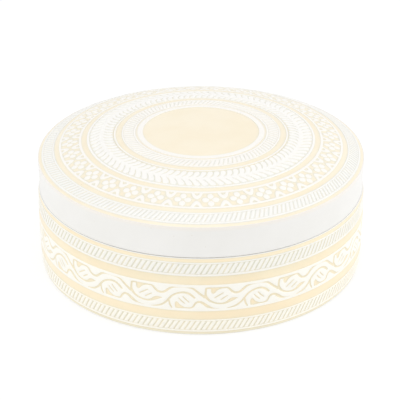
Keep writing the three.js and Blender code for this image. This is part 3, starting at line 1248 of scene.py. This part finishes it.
# The upper rope is a darker copy of the lower rope's glaze: painted shade near the lid
upperRopeShadedGlaze = {**wallRopeGlaze, "poolAndShade": linear(222, 222, 205), "raised": linear(245, 243, 236)}
crownGlaze = {
    **reliefGlaze,
    "cloud": (linear(247, 237, 214), linear(245, 233, 207)),
    "poolAndShade": linear(231, 228, 212), "raised": linear(247, 244, 239),
}
crownRopeGlaze = {**crownGlaze, "poolAndShade": linear(233, 233, 225)}
rimRopeGlaze = {**crownGlaze, "poolAndShade": linear(230, 231, 225), "raised": linear(243, 242, 238)}
chevronGlaze = {**crownGlaze, "poolAndShade": linear(230, 232, 225), "raised": linear(247, 245, 241)}
plainGlaze = {
    "surface": {
        "Wave Size": 55.0, "Wave Height": 1.0, "Peel Size": 1300.0, "Peel Height": 0.15, "Cloud Size": 30.0,
    },
    "specks": {"Size": 620.0, "Amount": 0.02},
    "speckShare": 0.2, "speckColour": linear(196, 184, 158),
    "cloud": (linear(239, 238, 235), linear(235, 234, 230)),
    "warm": linear(240, 235, 228),
    "roughness": (0.29, 0.36), "bump": 0.3, "bumpDepth": 0.00006,
    "coat": {"Coat Weight": 0.3, "Coat Roughness": 0.12},
}
# The foot's cream glaze is darkened as painted shade near the table
footShadedGlaze = {
    **plainGlaze,
    "cloud": (linear(244, 238, 215), linear(241, 233, 208)),
    "warm": linear(243, 232, 208),
    "roughness": (0.3, 0.38),
}
bareClay = {
    "surface": {
        "Wave Size": 300.0, "Wave Height": 0.4, "Peel Size": 2600.0, "Peel Height": 1.0, "Cloud Size": 420.0,
    },
    "specks": {"Size": 1300.0, "Amount": 0.1},
    "speckShare": 0.3, "speckColour": linear(186, 170, 142),
    "cloud": (linear(240, 237, 228), linear(236, 231, 220)),
    "roughness": (0.7, 0.85), "bump": 0.5, "bumpDepth": 0.00005,
    "coat": {},
}


def readMark(tree, mark):
    # What the mesh says at each point: its relief, or its pool of glaze together with painted shade
    node = tree.nodes.new("ShaderNodeAttribute")
    node.attribute_name = mark
    return node.outputs["Fac"]


def makeGlaze(name, spec):
    material = bpy.data.materials.new(name)
    material.use_nodes = True
    tree = material.node_tree
    shader = tree.nodes["Principled BSDF"].inputs
    surface = placeGroup(tree, glazeGroups["surface"], spec["surface"])
    colour = mixColour(tree, surface["Cloud"], *spec["cloud"])
    if "raised" in spec:
        marks = {"Relief": readMark(tree, "relief"), "Gather": readMark(tree, "poolAndShade")}
        poolAndShade = placeGroup(tree, glazeGroups["poolAndShade"], {**marks, **spec["edge"]})
        colour = mixColour(tree, poolAndShade["Pool And Shade"], colour, spec["poolAndShade"])
        colour = mixColour(tree, poolAndShade["Raised"], colour, spec["raised"])
    elif "warm" in spec:
        colour = mixColour(tree, readMark(tree, "poolAndShade"), colour, spec["warm"])
    specks = placeGroup(tree, glazeGroups["specks"], spec["specks"])
    faint = addMath(tree, "MULTIPLY", specks["Speck"], spec["speckShare"])
    feed(tree, shader["Base Color"], mixColour(tree, faint, colour, spec["speckColour"]))
    feed(tree, shader["Roughness"], addRange(tree, surface["Cloud"], 0.0, 1.0, *spec["roughness"]))
    bump = tree.nodes.new("ShaderNodeBump")
    feed(tree, bump.inputs["Strength"], spec["bump"])
    feed(tree, bump.inputs["Distance"], spec["bumpDepth"])
    feed(tree, bump.inputs["Height"], surface["Height"])
    feed(tree, shader["Normal"], bump.outputs["Normal"])
    for socket, value in spec["coat"].items():
        feed(tree, shader[socket], value)
    return material


glazeGroups = {
    "poolAndShade": makeGlazePoolAndShade(),
    "surface": makeGlazeSurface(),
    "specks": makeKilnSpecks(),
}
wallMaterial = makeGlaze("wall_glaze", wallGlaze)
wallRopeMaterial = makeGlaze("wall_rope_glaze", wallRopeGlaze)
upperRopeShadedMaterial = makeGlaze("upper_rope_shaded_glaze", upperRopeShadedGlaze)
crownMaterial = makeGlaze("crown_glaze", crownGlaze)
crownRopeMaterial = makeGlaze("crown_rope_glaze", crownRopeGlaze)
rimRopeMaterial = makeGlaze("rim_rope_glaze", rimRopeGlaze)
chevronMaterial = makeGlaze("chevron_glaze", chevronGlaze)
plainMaterial = makeGlaze("plain_white_glaze", plainGlaze)
footShadedMaterial = makeGlaze("foot_shaded_glaze", footShadedGlaze)
bareMaterial = makeGlaze("bare_clay", bareClay)
print("glazes ready")

bodyPieces = [
    makeBodyShell([wallMaterial, plainMaterial, bareMaterial, footShadedMaterial]),
    makeRope(upperRope, onWall, upperRopeShadedMaterial),
    makeRope(lowerRope, onWall, wallRopeMaterial),
    carvedBand(vine, onWall, vineMeasure, wallMaterial),
]
lidPieces = [
    makeLidShell([crownMaterial, plainMaterial, bareMaterial, plainMaterial]),
    makeRope(rimRope, onCrown, rimRopeMaterial),
    makeRope(innerRope, onCrown, crownRopeMaterial),
    carvedBand(chevrons, onCrown, chevronMeasure, chevronMaterial),
    carvedBand(lattice, onCrown, latticeMeasure, crownMaterial),
]
for piece in bodyPieces:
    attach(piece, "body")
for piece in lidPieces:
    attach(piece, "lid")
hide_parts("box_body")
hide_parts("lid")
print("porcelain pieces ready")


# Table, lamps and camera

stage = {
    "floorSize": 6.0,
    "floorDrop": 0.0001,
    "lit": 0.35,         # share of the floor's whiteness that comes from the lamps in the picture
    "white": 0.68,       # share that is there whatever falls on it
    "bounce": 0.9,       # floor's whiteness as the box sees it
    "skyLight": 0.776,   # what the white room sheds; seen directly it is plain white
    "lampSize": 0.8,
    "lampAim": (0, 0, 0.03),
}


def seenDirectly(tree):
    # 1 for a ray that the camera sees: straight, by a reflection or through glass
    path = tree.nodes.new("ShaderNodeLightPath").outputs
    direct = addMath(tree, "MAXIMUM", path["Is Camera Ray"], path["Is Glossy Ray"])
    return addMath(tree, "MAXIMUM", direct, path["Is Transmission Ray"])


def makeFloor():
    half = stage["floorSize"] / 2
    drop = -stage["floorDrop"]
    corners = [(-half, -half, drop), (half, -half, drop), (half, half, drop), (-half, half, drop)]
    mesh = bpy.data.meshes.new("floor")
    mesh.from_pydata(corners, [], [(0, 1, 2, 3)])
    floor = bpy.data.objects.new("floor", mesh)
    bpy.context.scene.collection.objects.link(floor)
    material = bpy.data.materials.new("white_table")
    material.use_nodes = True
    tree = material.node_tree
    tree.nodes.clear()
    out = tree.nodes.new("ShaderNodeOutputMaterial")
    seen = tree.nodes.new("ShaderNodeBsdfDiffuse")
    feed(tree, seen.inputs["Color"], (stage["lit"],) * 3)
    glow = tree.nodes.new("ShaderNodeEmission")
    feed(tree, glow.inputs["Strength"], stage["white"])
    both = tree.nodes.new("ShaderNodeAddShader")
    feed(tree, both.inputs[0], seen.outputs[0])
    feed(tree, both.inputs[1], glow.outputs[0])
    bounce = tree.nodes.new("ShaderNodeBsdfDiffuse")
    feed(tree, bounce.inputs["Color"], (stage["bounce"],) * 3)
    choose = tree.nodes.new("ShaderNodeMixShader")
    for index, value in enumerate((seenDirectly(tree), bounce.outputs[0], both.outputs[0])):
        feed(tree, choose.inputs[index], value)
    feed(tree, out.inputs["Surface"], choose.outputs[0])
    mesh.materials.append(material)


def makeWorld():
    world = bpy.data.worlds.new("studio")
    world.use_nodes = True
    tree = world.node_tree
    background = tree.nodes["Background"].inputs
    feed(tree, background["Color"], (1, 1, 1))
    level = addRange(tree, seenDirectly(tree), 0.0, 1.0, stage["skyLight"], 1.0)
    feed(tree, background["Strength"], level)
    bpy.context.scene.world = world


lamps = [
    {"name": "left_front_softbox", "place": (-0.77, -0.77, 0.51), "power": 2.31},
    {"name": "left_softbox", "place": (-1.12, -0.1, 0.41), "power": 1.12},
    {"name": "right_softbox", "place": (1.12, -0.1, 0.41), "power": 4.09},
    {"name": "top_softbox", "place": (0.0, -0.04, 1.2), "power": 1.85},
]


def makeLamp(spec):
    light = bpy.data.lights.new(spec["name"], "AREA")
    light.shape = "SQUARE"
    light.size = stage["lampSize"]
    light.energy = spec["power"]
    lamp = bpy.data.objects.new(spec["name"], light)
    lamp.location = spec["place"]
    aim = Vector(stage["lampAim"]) - lamp.location
    lamp.rotation_euler = aim.to_track_quat("-Z", "Y").to_euler()
    bpy.context.scene.collection.objects.link(lamp)


# Worked out from the rings of the box in the picture, which is 400 by 400
shot = {
    "distance": 527.4,       # from the middle of the crown's rim
    "elevation": 25.51,
    "tilt": 27.73,           # camera's own angle below level
    "lens": 120.26,
    "sensor": 36,
    "shift": (-0.0024, 0.00125),
}


def makeCamera():
    data = bpy.data.cameras.new("camera")
    data.sensor_width = shot["sensor"]
    data.lens = shot["lens"]
    data.shift_x, data.shift_y = shot["shift"]
    camera = bpy.data.objects.new("camera", data)
    up, away = math.radians(shot["elevation"]), shot["distance"]
    rim = lid["base"] + lid["rimHeight"]
    camera.location = Vector((0, -away * math.cos(up), rim + away * math.sin(up))) * mm
    camera.rotation_euler = (math.radians(90 - shot["tilt"]), 0, 0)
    bpy.context.scene.collection.objects.link(camera)
    bpy.context.scene.camera = camera


makeFloor()
makeWorld()
for lamp in lamps:
    makeLamp(lamp)
makeCamera()
bpy.context.scene.view_settings.view_transform = "Standard"
print("table, lamps and camera ready")
